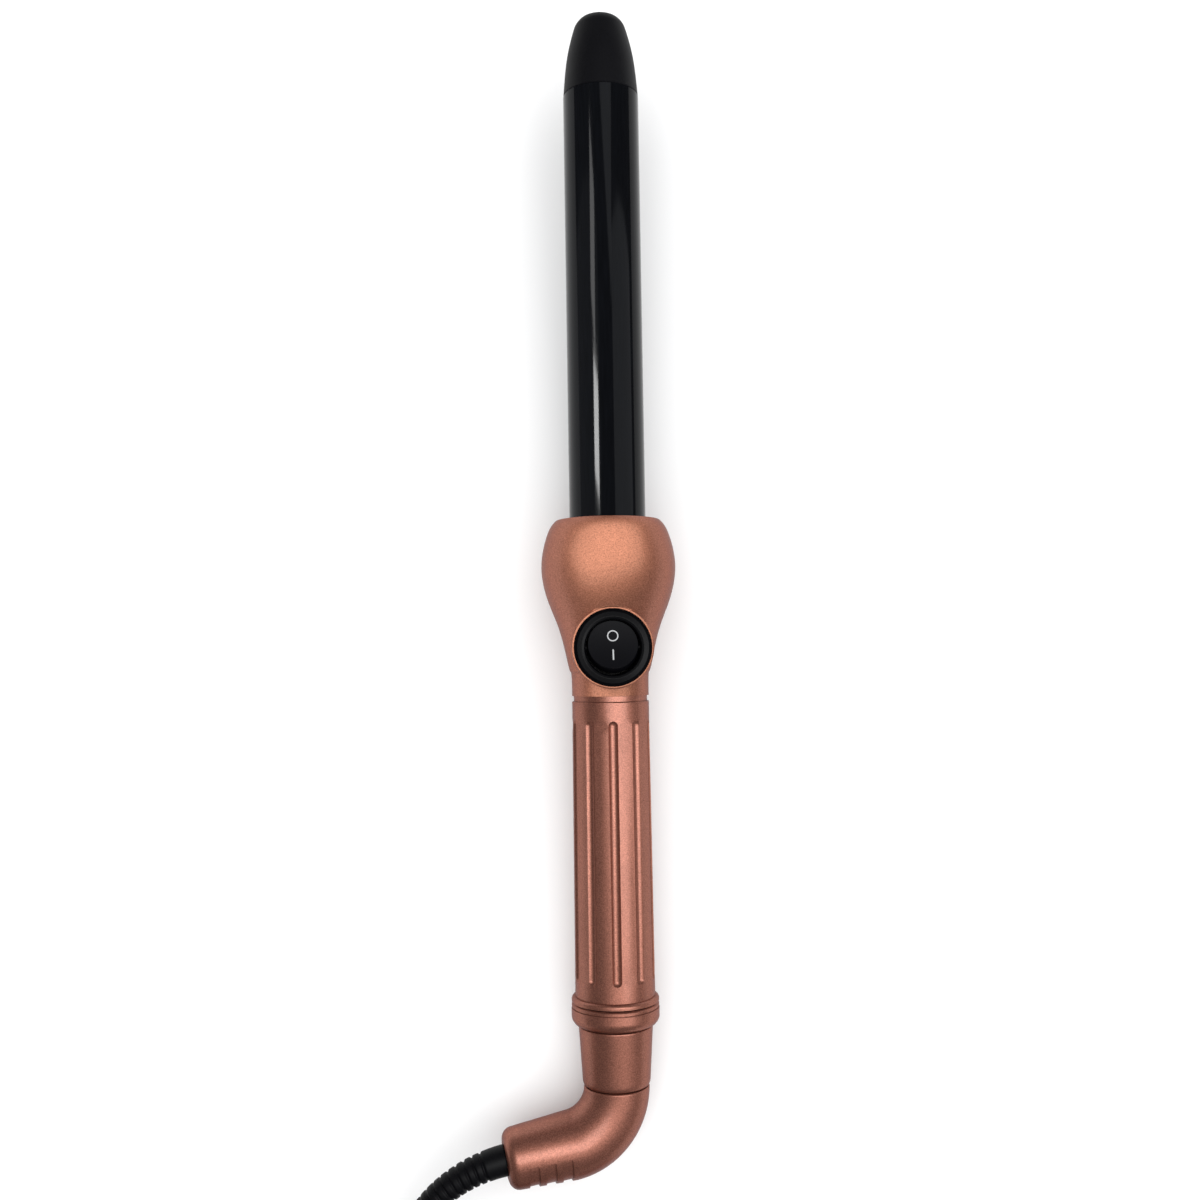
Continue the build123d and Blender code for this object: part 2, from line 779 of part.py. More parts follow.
with BuildPart() as elbow_hollow:
    with BuildLine():
        FilletPolyline(
            wand_point(0, elbow_start + 1e-3),
            elbow_corner,
            elbow_end - outlet_dir * outlet_wall,
            radius=elbow_bend,
        )
    with BuildSketch(Plane(origin=wand_point(0, elbow_start + 1e-3), z_dir=-to_tip)):
        Circle(elbow_bore)
    sweep()

recess_width = 3.3
recess_pitch = 5.3
recess_first = 7.6
recess_depth = 0.55
recess_short = 2.5  # degrees from each end of the outer half
short = math.radians(recess_short)
recess_side = bend_normal * math.cos(short) + outlet_outer * math.sin(short)

# Three recesses run round the outer half of the outlet.
with BuildPart() as recess_cutter:
    with BuildSketch(Plane(origin=elbow_end, x_dir=-outlet_dir, z_dir=recess_side.cross(outlet_dir))):
        for place in range(3):
            middle = recess_first + place * recess_pitch
            recess_floor = outlet_end_r + middle * outlet_taper - recess_depth
            with Locations((middle, (recess_floor + elbow_r + 1) / 2)):
                Rectangle(recess_width, elbow_r + 1 - recess_floor)
    revolve(axis=Axis(elbow_end, outlet_dir), revolution_arc=180 - 2 * recess_short)
    end_edges = recess_cutter.edges().filter_by(GeomType.LINE).filter_by(
        lambda edge: abs(edge.tangent_at(0).dot(outlet_dir)) < 0.5
    )
    fillet(end_edges, 0.7)

with BuildPart() as swivel_elbow:
    add(elbow_shell.part)
    add(elbow_hollow.part, mode=Mode.SUBTRACT)
    add(recess_cutter.part, mode=Mode.SUBTRACT)
    with BuildSketch(Plane(origin=elbow_end, z_dir=-outlet_dir).offset(-1)):
        Circle(sleeve_root_r + slack)
    extrude(amount=outlet_wall + 2, mode=Mode.SUBTRACT)
    # The spigot that turns in the cuff, with the clip's groove.
    with BuildSketch(lengthwise):
        ring_section(stem_r, spigot_r, elbow_start - 1, spigot_top)
        ring_section(stem_r, elbow_bore + 1, elbow_start - 2, elbow_start - 0.3)
    revolve(axis=wand_axis)
    with BuildSketch(lengthwise):
        ring_section(clip_groove_r, spigot_r + 1, clip_low, clip_high)
    revolve(axis=wand_axis, mode=Mode.SUBTRACT)
    for way in (-1, 1):
        screw_line = elbow_end + bend_normal * way * clamp_screw_out
        with BuildSketch(Plane(origin=screw_line, z_dir=-outlet_dir).offset(2)):
            Circle(clamp_screw_r + slack)
        extrude(amount=outlet_wall, mode=Mode.SUBTRACT)
swivel_elbow.part.label = "swivel_elbow"
export_step(swivel_elbow.part, "parts/swivel_elbow.step")

# ---------------------------------------------------------------- slip rings and brushes
ring_r = 5.5
ring_core_r = 4.5
wire_bore = 2.25
ring_places = (-94.0, -88.0)
ring_length = 3.0

with BuildPart() as slip_ring_core:
    with BuildSketch(lengthwise):
        ring_section(wire_bore, stem_r - slack, elbow_start - 2.5, spigot_top)
        ring_section(wire_bore, ring_core_r, spigot_top, -82.0)
    revolve(axis=wand_axis)
slip_ring_core.part.label = "slip_ring_core"
export_step(slip_ring_core.part, "parts/slip_ring_core.step")

with BuildPart() as slip_rings:
    with BuildSketch(lengthwise):
        for low in ring_places:
            ring_section(ring_core_r, ring_r, low, low + ring_length)
    revolve(axis=wand_axis)
slip_rings.part.label = "slip_rings"
export_step(slip_rings.part, "parts/slip_rings.step")

holder_low = -101.0
holder_high = -80.0
brush_bore = 6.9

with BuildPart() as brush_holder:
    with BuildSketch(lengthwise):
        ring_section(brush_bore, core_bore - slack, holder_low, holder_high)
    revolve(axis=wand_axis)
brush_holder.part.label = "brush_holder"
export_step(brush_holder.part, "parts/brush_holder.step")


def leaf_outline(side, reach):
    """A brush leaf from its root on the holder's wall to where it presses on a slip ring."""
    outer = [(6.78, holder_high), (6.78, reach + 2.5), (5.9, reach), (6.4, reach - 1.7)]
    inner = [(6.15, reach - 1.8), (ring_r + 0.08, reach), (6.48, reach + 2.6), (6.48, holder_high)]
    Polyline(*[(side * x, station) for x, station in outer + inner], close=True)


with BuildPart() as brush_leaves:
    for side, low in zip((-1, 1), ring_places):
        with BuildSketch(lengthwise):
            with BuildLine():
                leaf_outline(side, low + ring_length / 2)
            make_face()
        extrude(amount=1.1, both=True)
brush_leaves.part.label = "brush_leaves"
export_step(brush_leaves.part, "parts/brush_leaves.step")

# ---------------------------------------------------------------- wires in the handle
wire_r = 0.8
wire_bend = 3.0


def wire(points, radius, bend):
    """A round wire through points given on the wand."""
    places = [wand_point(*p) for p in points]
    with BuildLine() as run:
        FilletPolyline(*places, radius=bend)
    with BuildSketch(Plane(origin=places[0], z_dir=places[1] - places[0])) as section:
        Circle(radius)
    sweep(sections=section.sketch, path=run.line)


fuse_x = fuse_at[0]
fuse_low = fuse_at[1]
neutral_x = -3.0
crimp_low = 60.0
crimp_length = 6.0

with BuildPart() as live_wire:
    wire(
        [
            (5.7, -79.9, 0),
            (3.5, -68, -2),
            (3.0, -8, -4.3),
            (1.2, 6, -4.9),
            (0, switch_at - 0.45, -4.9),
        ],
        wire_r,
        wire_bend,
    )
live_wire.part.label = "live_wire"
export_step(live_wire.part, "parts/live_wire.step")

with BuildPart() as switched_wire:
    wire(
        [
            (0, switch_at + blade_pitch + 0.45, -4.9),
            (0.6, 31, -4.2),
            (fuse_x, 46, fuse_height),
            (fuse_x, fuse_low, fuse_height),
        ],
        wire_r,
        wire_bend,
    )
switched_wire.part.label = "switched_wire"
export_step(switched_wire.part, "parts/switched_wire.step")

with BuildPart() as neutral_wire:
    wire(
        [
            (-5.7, -79.9, 0),
            (-3.5, -68, -2.5),
            (-4.2, -2, -4.2),
            (-5.0, 10, -5.2),
            (-4.0, 29, -3.0),
            (neutral_x, 48, 0),
            (neutral_x, crimp_low, 0),
        ],
        wire_r,
        wire_bend,
    )
neutral_wire.part.label = "neutral_wire"
export_step(neutral_wire.part, "parts/neutral_wire.step")

with BuildPart() as wire_crimp:
    with BuildSketch(Plane(origin=wand_point(neutral_x, crimp_low), z_dir=to_tip)):
        Circle(1.3)
    extrude(amount=crimp_length)
wire_crimp.part.label = "wire_crimp"
export_step(wire_crimp.part, "parts/wire_crimp.step")

with BuildPart() as heater_leads:
    lead_r = 0.45
    wire(
        [
            (fuse_x, fuse_low + fuse_length, fuse_height),
            (fuse_x, 69.5, fuse_height),
            (-neutral_x, 74.5, 0),
            (-neutral_x, heater_low, 0),
        ],
        lead_r,
        1.5,
    )
    with BuildSketch(Plane(origin=wand_point(neutral_x, crimp_low + crimp_length), z_dir=to_tip)):
        Circle(lead_r)
    extrude(amount=heater_low - crimp_low - crimp_length)
heater_leads.part.label = "heater_leads"
export_step(heater_leads.part, "parts/heater_leads.step")

# ---------------------------------------------------------------- cord side of the elbow
cord_r = cord_d / 2
flange_r = 7.0
flange = 2.0
clamp_length = 5.0


def outlet_plane(distance):
    """The plane across the outlet, this far inside its end face, looking out."""
    return Plane(origin=elbow_end - outlet_dir * distance, x_dir=bend_normal, z_dir=outlet_dir)


def clamp_screw_places():
    """The two places beside the cord where the clamp's screws run."""
    return Locations((-clamp_screw_out, 0), (clamp_screw_out, 0))


clamp_near = outlet_wall + flange + slack
clamp_far = clamp_near + clamp_length

with BuildPart() as cord_clamp:
    with BuildSketch(outlet_plane(clamp_far)):
        Circle(elbow_bore - 0.3)
        Circle(cord_r, mode=Mode.SUBTRACT)
        with clamp_screw_places():
            Circle(clamp_screw_r + slack, mode=Mode.SUBTRACT)
    extrude(amount=clamp_length)
cord_clamp.part.label = "cord_clamp"
export_step(cord_clamp.part, "parts/cord_clamp.step")

with BuildPart() as clamp_screws:
    with BuildSketch(outlet_plane(clamp_far)):
        with clamp_screw_places():
            Circle(clamp_screw_r)
    extrude(amount=clamp_far - 2.4)
    with BuildSketch(outlet_plane(clamp_far)):
        with clamp_screw_places():
            Circle(1.6)
    extrude(amount=-1.2)
clamp_screws.part.label = "clamp_screws"
export_step(clamp_screws.part, "parts/clamp_screws.step")

with BuildPart() as cord_end:
    with BuildSketch(outlet_plane(clamp_far + 3)):
        Circle(cord_r)
    extrude(amount=clamp_far + 3)
cord_end.part.label = "cord_end"
export_step(cord_end.part, "parts/cord_end.step")

with BuildPart() as cord_cores:
    for way in (-1, 1):
        aside = bend_normal * way * 1.1
        start = elbow_end - outlet_dir * (clamp_far + 3) + aside
        with BuildLine():
            FilletPolyline(start, elbow_corner + aside, wand_point(0, -100.0) + aside, radius=10)
        with BuildSketch(Plane(origin=start, z_dir=-outlet_dir)):
            Circle(1.0)
        sweep()
cord_cores.part.label = "cord_cores"
export_step(cord_cores.part, "parts/cord_cores.step")

with BuildPart() as cord_sleeve:
    with BuildLine():
        sleeve_line = TangentArc(elbow_end, sleeve_end, tangent=outlet_dir)
    with BuildSketch(outlet_plane(0)):
        Circle(sleeve_root_r)
    with BuildSketch(Plane(origin=sleeve_line @ 1, z_dir=sleeve_line % 1)):
        Circle(sleeve_tip_r)
    sweep(multisection=True)
    with BuildSketch(outlet_plane(outlet_wall)):
        Circle(sleeve_root_r)
    extrude(amount=outlet_wall)
    with BuildSketch(outlet_plane(outlet_wall + flange)):
        Circle(flange_r)
        with clamp_screw_places():
            Circle(clamp_screw_r + slack, mode=Mode.SUBTRACT)
    extrude(amount=flange)
    with BuildSketch(outlet_plane(outlet_wall + flange)):
        Circle(cord_r + slack)
    extrude(amount=outlet_wall + flange + slack, mode=Mode.SUBTRACT)
cord_sleeve.part.label = "cord_sleeve"
export_step(cord_sleeve.part, "parts/cord_sleeve.step")

# ---------------------------------------------------------------- cord, laid on the table
with BuildPart() as cord_lead:
    with BuildLine() as lead_line:
        FilletPolyline(*lead_route, radius=arc_radii(lead_route))
    with BuildSketch(facing(lead_route[0], lead_route[1])):
        Circle(cord_r)
    sweep()
cord_lead.part.label = "cord_lead"
export_step(cord_lead.part, "parts/cord_lead.step")

coil_axis = Axis((*coil_centre, 0), (0, 0, 1))

with BuildPart() as cord_coil:
    with BuildSketch(Plane(origin=(*coil_centre, 0), x_dir=(1, 0, 0), z_dir=(0, -1, 0))):
        with Locations((coil_r, coil_side / 2)):
            RectangleRounded(coil_side, coil_side, cord_r - 0.1)
    revolve(axis=coil_axis)
cord_coil.part.label = "cord_coil"
export_step(cord_coil.part, "parts/cord_coil.step")

with BuildPart() as cord_tail:
    with BuildLine() as tail_line:
        FilletPolyline(*tail_route, radius=arc_radii(tail_route))
    with BuildSketch(facing(tail_route[0], tail_route[1])):
        Circle(cord_r)
    sweep()
cord_tail.part.label = "cord_tail"
export_step(cord_tail.part, "parts/cord_tail.step")

tie_width = 9.0
tie_thick = 1.2

with BuildPart() as cord_tie:
    tie_x = coil_centre[0] + coil_r
    with BuildSketch(Plane(origin=(tie_x, coil_centre[1], 0), x_dir=(1, 0, 0), z_dir=(0, -1, 0))):
        with Locations((0, (coil_side + tie_thick) / 2)):
            RectangleRounded(coil_side + 2 * tie_thick, coil_side + tie_thick, 3.5)
        with Locations((0, coil_side / 2 + tie_thick / 2)):
            RectangleRounded(coil_side, coil_side - tie_thick, 2.5, mode=Mode.SUBTRACT)
    extrude(amount=tie_width / 2, both=True)
cord_tie.part.label = "cord_tie"
export_step(cord_tie.part, "parts/cord_tie.step")

# ---------------------------------------------------------------- plug
plug_root = plug_back + plug_sleeve
plug_face = plug_root + plug_body_length
plug_half = plug_width / 2
root_half = 6.5
carrier_width = 27.0
carrier_height = 8.6
carrier_depth = 8.0

with BuildPart() as plug_body:
    with BuildSketch(Plane.XY.offset(plug_height)):
        with BuildLine():
            Polyline(
                (plug_x - root_half, plug_root),
                (plug_x - plug_half, plug_root + 20),
                (plug_x - plug_half, plug_face),
                (plug_x + plug_half, plug_face),
                (plug_x + plug_half, plug_root + 20),
                (plug_x + root_half, plug_root),
                close=True,
            )
        make_face()
    extrude(amount=plug_thick / 2, both=True)
    corners = plug_body.edges().filter_by(Axis.Z).sort_by(Axis.Y)
    fillet(corners[2:4], 6.0)
    fillet(plug_body.edges().filter_by(Axis.Z).sort_by(Axis.Y)[-2:], 3.0)
    fillet(plug_body.faces().filter_by(Axis.Z).edges(), 2.2)
    with BuildSketch(Plane(origin=(plug_x, plug_back, plug_height), z_dir=(0, 1, 0))):
        Circle(4.3)
    with BuildSketch(Plane(origin=(plug_x, plug_root + 1, plug_height), z_dir=(0, 1, 0))):
        Circle(5.6)
    loft()
    with BuildSketch(Plane(origin=(plug_x, plug_face, plug_height), x_dir=(1, 0, 0), z_dir=(0, 1, 0))):
        RectangleRounded(carrier_width + 2 * slack, carrier_height + 2 * slack, 2.0)
    extrude(amount=-carrier_depth - slack, mode=Mode.SUBTRACT)
plug_body.part.label = "plug_body"
export_step(plug_body.part, "parts/plug_body.step")

sleeve_on_pin = 10.0
pin_neck_r = 1.5


def pin_places(depth):
    """The two pins' places, in a plane this far behind the plug's face."""
    return Plane(origin=(plug_x, plug_face - depth, plug_height), x_dir=(1, 0, 0), z_dir=(0, 1, 0))


with BuildPart() as plug_carrier:
    with BuildSketch(pin_places(carrier_depth)):
        RectangleRounded(carrier_width, carrier_height, 2.0)
        with GridLocations(pin_spacing, 0, 2, 1):
            Circle(pin_neck_r, mode=Mode.SUBTRACT)
    extrude(amount=carrier_depth + 0.4)
plug_carrier.part.label = "plug_carrier"
export_step(plug_carrier.part, "parts/plug_carrier.step")

with BuildPart() as plug_pins:
    with BuildSketch(pin_places(carrier_depth)):
        with GridLocations(pin_spacing, 0, 2, 1):
            Circle(pin_neck_r)
    extrude(amount=carrier_depth + 0.4 + sleeve_on_pin)
    with BuildSketch(pin_places(-0.4 - sleeve_on_pin)):
        with GridLocations(pin_spacing, 0, 2, 1):
            Circle(pin_r)
    extrude(amount=pin_length - 0.4 - sleeve_on_pin)
    fillet(plug_pins.edges().filter_by(GeomType.CIRCLE).group_by(Axis.Y)[-1], 1.2)
plug_pins.part.label = "plug_pins"
export_step(plug_pins.part, "parts/plug_pins.step")

with BuildPart() as pin_sleeves:
    with BuildSketch(pin_places(-0.4)):
        with GridLocations(pin_spacing, 0, 2, 1):
            Circle(pin_r - 0.2)
            Circle(pin_neck_r, mode=Mode.SUBTRACT)
    extrude(amount=sleeve_on_pin)
pin_sleeves.part.label = "pin_sleeves"
export_step(pin_sleeves.part, "parts/pin_sleeves.step")

# ---------------------------------------------------------------- what the cord measures
for name, route, line, tube in (
    ("lead", lead_route, lead_line, cord_lead),
    ("tail", tail_route, tail_line, cord_tail),
):
    length = sum(edge.length for edge in line.edges())
    radii = ", ".join(f"{radius:.0f}" for radius in arc_radii(route))
    section = math.pi * cord_r**2
    print(f"cord {name}: radii {radii} mm, length {length:.1f} mm")
    print(f"  volume {tube.part.volume:.0f} mm3, section times length {section * length:.0f} mm3")
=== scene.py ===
import json
import math
import bmesh
import bpy
from mathutils import Matrix, Vector


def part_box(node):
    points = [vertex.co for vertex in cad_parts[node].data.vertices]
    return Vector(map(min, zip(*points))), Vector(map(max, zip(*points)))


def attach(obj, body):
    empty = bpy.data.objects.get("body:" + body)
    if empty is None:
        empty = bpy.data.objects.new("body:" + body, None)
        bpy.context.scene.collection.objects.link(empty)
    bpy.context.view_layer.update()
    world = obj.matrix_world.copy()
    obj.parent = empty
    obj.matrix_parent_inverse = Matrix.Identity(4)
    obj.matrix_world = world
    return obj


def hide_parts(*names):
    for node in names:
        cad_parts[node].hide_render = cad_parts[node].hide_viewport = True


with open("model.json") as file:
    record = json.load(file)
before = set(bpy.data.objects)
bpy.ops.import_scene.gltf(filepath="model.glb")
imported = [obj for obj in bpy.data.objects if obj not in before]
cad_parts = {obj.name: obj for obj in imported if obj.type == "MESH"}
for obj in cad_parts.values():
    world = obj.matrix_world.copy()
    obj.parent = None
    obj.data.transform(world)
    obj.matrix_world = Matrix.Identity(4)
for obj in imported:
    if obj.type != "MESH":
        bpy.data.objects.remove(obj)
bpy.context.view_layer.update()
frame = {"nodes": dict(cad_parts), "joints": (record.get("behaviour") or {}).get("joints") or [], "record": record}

# The wand lies along +Y, its tip raised a little and its switch on top. Everything is in metres.
joints = {joint["name"]: joint for joint in frame["joints"]}
record = frame["record"]
X = Vector((1, 0, 0))
to_tip = Vector(joints["swivel"]["axis"])
to_switch = X.cross(to_tip)
cuff_end = Vector(joints["swivel"]["pos_m"])
rocker_pivot = Vector(joints["rocker_tilt"]["pos_m"])
joint_from_cuff_end = 0.1232  # from the cuff's end to the joint between bulb and grip


def wand_point(x, station):
    """A point at the wand's middle height. The station counts from the bulb's joint towards the tip."""
    return cuff_end + X * x + to_tip * (station + joint_from_cuff_end)


# ---------------------------------------------------------------- camera
view_station = 0.033  # the camera aims here, a little to -X of the wand's axis
view_aside = -0.0029
view_distance = 0.426
view_tilt = math.radians(2.3)  # the camera leans towards the handle
view_round = math.radians(-3.0)  # round the wand's axis, towards -X
view_roll = math.radians(0.93)
sensor = 36  # mm
lens = 39  # mm
near_clip = 0.01


def add_camera():
    """The camera looks almost straight down on the switch side, from over the middle of the wand."""
    forward = to_tip * math.sin(view_tilt) - to_switch * math.cos(view_tilt)
    up = to_tip * math.cos(view_tilt) + to_switch * math.sin(view_tilt)
    right = forward.cross(up)
    rolled_up = up * math.cos(view_roll) + right * math.sin(view_roll)
    rolled_right = forward.cross(rolled_up)
    basis = Matrix((rolled_right, rolled_up, -forward)).transposed().to_4x4()
    turn = Matrix.Rotation(view_round, 4, to_tip)
    aim = wand_point(view_aside, view_station)
    place = Matrix.Translation(aim) @ turn @ Matrix.Translation(-forward * view_distance) @ basis
    camera = bpy.data.objects.new("camera", bpy.data.cameras.new("camera"))
    bpy.context.collection.objects.link(camera)
    camera.matrix_world = place
    camera.data.sensor_width = sensor
    camera.data.lens = lens
    camera.data.clip_start = near_clip
    bpy.context.scene.camera = camera


add_camera()


# ---------------------------------------------------------------- the mains cord
cord_diameter = 0.0068
# Through the strain relief.
sleeve_route = [
    (-0.0281, -0.1808, 0.0177),
    (-0.0344, -0.1818, 0.0186),
    (-0.0460, -0.1874, 0.0191),
    (-0.0552, -0.1963, 0.0179),
]
# Down to the table and into the coil.
lead_route = [
    (-0.0656, -0.2159, 0.0134),
    (-0.0760, -0.2320, 0.0074),
    (-0.0856, -0.2505, 0.0034),
    (-0.0926, -0.2675, 0.0034),
]
# From the coil to the plug.
tail_route = [
    (-0.0675, -0.3181, 0.0170),
    (-0.0465, -0.3295, 0.0156),
    (-0.0210, -0.3378, 0.0096),
    (-0.0012, -0.3342, 0.0052),
    (0.0146, -0.3226, 0.0040),
    (0.0232, -0.3050, 0.0054),
    (0.0240, -0.2865, 0.0069),
    (0.0240, -0.2790, 0.0069),
]
coil_centre = Vector((-0.046, -0.276, 0))
coil_r = 0.0405  # of the middle column of turns
outer, middle, inner = coil_r + cord_diameter, coil_r, coil_r - cord_diameter
low, mid, high = (cord_diameter * layer for layer in (0.5, 1.5, 2.5))
# The places in the coil's section that the cord fills in order, as (radius, height).
coil_cells = [
    (outer, low),
    (middle, low),
    (inner, low),
    (inner, mid),
    (inner, high),
    (middle, high),
    (middle, mid),
    (outer, mid),
    (outer, high),
]
# Angles round the coil, in degrees. A shift takes the cord from one place in the section to the next.
first_shift = 243.0
coil_begin = 169.7
coil_finish = first_shift + 360 * (len(coil_cells) - 1)
shift_spacing = 345.0  # each turn changes its place 15 degrees before the last one did
shift_length = 105.0
points_per_turn = 24


def coil_points():
    """The turns of the coil, seen from above anticlockwise, changing place once in each turn."""
    step = 360 / points_per_turn
    corner = 1 / math.cos(math.radians(step / 2))
    points = []
    count = round((coil_finish - coil_begin) / step)
    for i in range(1, count):
        angle = coil_begin + i * (coil_finish - coil_begin) / count
        radius, height = coil_cells[0]
        for turn, (before, after) in enumerate(zip(coil_cells, coil_cells[1:])):
            t = (angle - first_shift - turn * shift_spacing) / shift_length
            t = min(max(t, 0.0), 1.0)
            smooth = t * t * (3 - 2 * t)
            radius += (after[0] - before[0]) * smooth
            height += (after[1] - before[1]) * smooth
        a = math.radians(angle)
        outwards = Vector((math.cos(a), math.sin(a), 0))
        points.append(coil_centre + outwards * radius * corner + Vector((0, 0, height)))
    return points


def nurbs_cord(name, points, diameter):
    """A round cord along a smooth curve that these points steer."""
    curve = bpy.data.curves.new(name, "CURVE")
    curve.dimensions = "3D"
    curve.resolution_u = 6
    curve.bevel_depth = 1.0  # times each point's radius
    curve.bevel_resolution = 5
    curve.use_fill_caps = True
    spline = curve.splines.new("NURBS")
    spline.points.add(len(points) - 1)
    for point, place in zip(spline.points, points):
        point.co = (*place, 1.0)
        point.radius = diameter / 2
    spline.order_u = 3
    spline.use_endpoint_u = True
    obj = bpy.data.objects.new(name, curve)
    bpy.context.collection.objects.link(obj)
    return obj


cord_points = [*sleeve_route, *lead_route, *coil_points(), *tail_route]
mains_cord = nurbs_cord("mains_cord", cord_points, cord_diameter)
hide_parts("cord_lead", "cord_coil", "cord_tail")
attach(mains_cord, "cord_outlet")


def spline_line(obj):
    """The points along the middle of a curve."""
    copy = obj.copy()
    copy.data = obj.data.copy()
    copy.data.bevel_depth = 0
    bpy.context.collection.objects.link(copy)
    bpy.context.view_layer.update()
    evaluated = copy.evaluated_get(bpy.context.evaluated_depsgraph_get())
    mesh = bpy.data.meshes.new_from_object(evaluated)
    line = [v.co.copy() for v in mesh.vertices]
    bpy.data.objects.remove(copy)
    bpy.data.meshes.remove(mesh)
    return line


cord_line = spline_line(mains_cord)


# ---------------------------------------------------------------- materials
coat_roughness = 0.25
ramp_from, ramp_to = 0.3, 0.7  # the noise values where the colour is darkest and lightest
broad_scale, broad_detail = 60, 4.0  # of the noise that moves the gloss
gloss_spread = 0.15


def shader(name, colour, roughness, metallic=0.0, coat=0.0, specular=0.5, edge=(1, 1, 1)):
    """A new material with its Principled shader."""
    material = bpy.data.materials.new(name)
    material.use_nodes = True
    bsdf = material.node_tree.nodes["Principled BSDF"]
    bsdf.inputs["Base Color"].default_value = (*colour, 1)
    bsdf.inputs["Roughness"].default_value = roughness
    bsdf.inputs["Metallic"].default_value = metallic
    bsdf.inputs["Specular IOR Level"].default_value = specular
    bsdf.inputs["Specular Tint"].default_value = (*edge, 1)
    if coat:
        bsdf.inputs["Coat Weight"].default_value = coat
        bsdf.inputs["Coat Roughness"].default_value = coat_roughness
    material.diffuse_color = (*colour, 1)
    return material, bsdf


def noise(tree, scale, detail=3.0, stretch=(1, 1, 1)):
    """Noise over the object's own coordinates, in metres."""
    place = tree.nodes.new("ShaderNodeTexCoord")
    mapping = tree.nodes.new("ShaderNodeMapping")
    mapping.inputs["Scale"].default_value = stretch
    tree.links.new(place.outputs["Object"], mapping.inputs["Vector"])
    texture = tree.nodes.new("ShaderNodeTexNoise")
    texture.inputs["Scale"].default_value = scale
    texture.inputs["Detail"].default_value = detail
    tree.links.new(mapping.outputs["Vector"], texture.inputs["Vector"])
    return texture.outputs["Fac"]


def vary_colour(tree, bsdf, factor, dark, light):
    """The base colour runs between two colours by a factor."""
    ramp = tree.nodes.new("ShaderNodeValToRGB")
    ramp.color_ramp.elements[0].position = ramp_from
    ramp.color_ramp.elements[0].color = (*dark, 1)
    ramp.color_ramp.elements[1].position = ramp_to
    ramp.color_ramp.elements[1].color = (*light, 1)
    tree.links.new(factor, ramp.inputs["Fac"])
    tree.links.new(ramp.outputs["Color"], bsdf.inputs["Base Color"])


def vary_roughness(tree, bsdf, factor, least, most):
    """The roughness runs between two values by a factor."""
    spread = tree.nodes.new("ShaderNodeMapRange")
    spread.inputs["To Min"].default_value = least
    spread.inputs["To Max"].default_value = most
    tree.links.new(factor, spread.inputs["Value"])
    tree.links.new(spread.outputs["Result"], bsdf.inputs["Roughness"])


def add_bump(tree, bsdf, factor, strength, distance):
    """The surface rises by up to this distance with a factor."""
    bump = tree.nodes.new("ShaderNodeBump")
    bump.inputs["Strength"].default_value = strength
    bump.inputs["Distance"].default_value = distance
    tree.links.new(factor, bump.inputs["Height"])
    tree.links.new(bump.outputs["Normal"], bsdf.inputs["Normal"])


def grained(
    name,
    colour,
    roughness,
    spread=0.25,
    grain=1600,
    bump=0.15,
    depth=0.0001,
    stretch=(1, 1, 1),
    **more,
):
    """A plain finish with a fine grain: colour, gloss and surface all vary a little with it."""
    material, bsdf = shader(name, colour, roughness, **more)
    tree = material.node_tree
    fine = noise(tree, grain, stretch=stretch)
    broad = noise(tree, broad_scale, broad_detail)
    dark = [c * (1 - spread) for c in colour]
    light = [min(1.0, c * (1 + spread)) for c in colour]
    vary_colour(tree, bsdf, fine, dark, light)
    smoothest = roughness * (1 - gloss_spread)
    roughest = min(1.0, roughness * (1 + gloss_spread))
    vary_roughness(tree, bsdf, broad, smoothest, roughest)
    add_bump(tree, bsdf, fine, bump, depth)
    return material


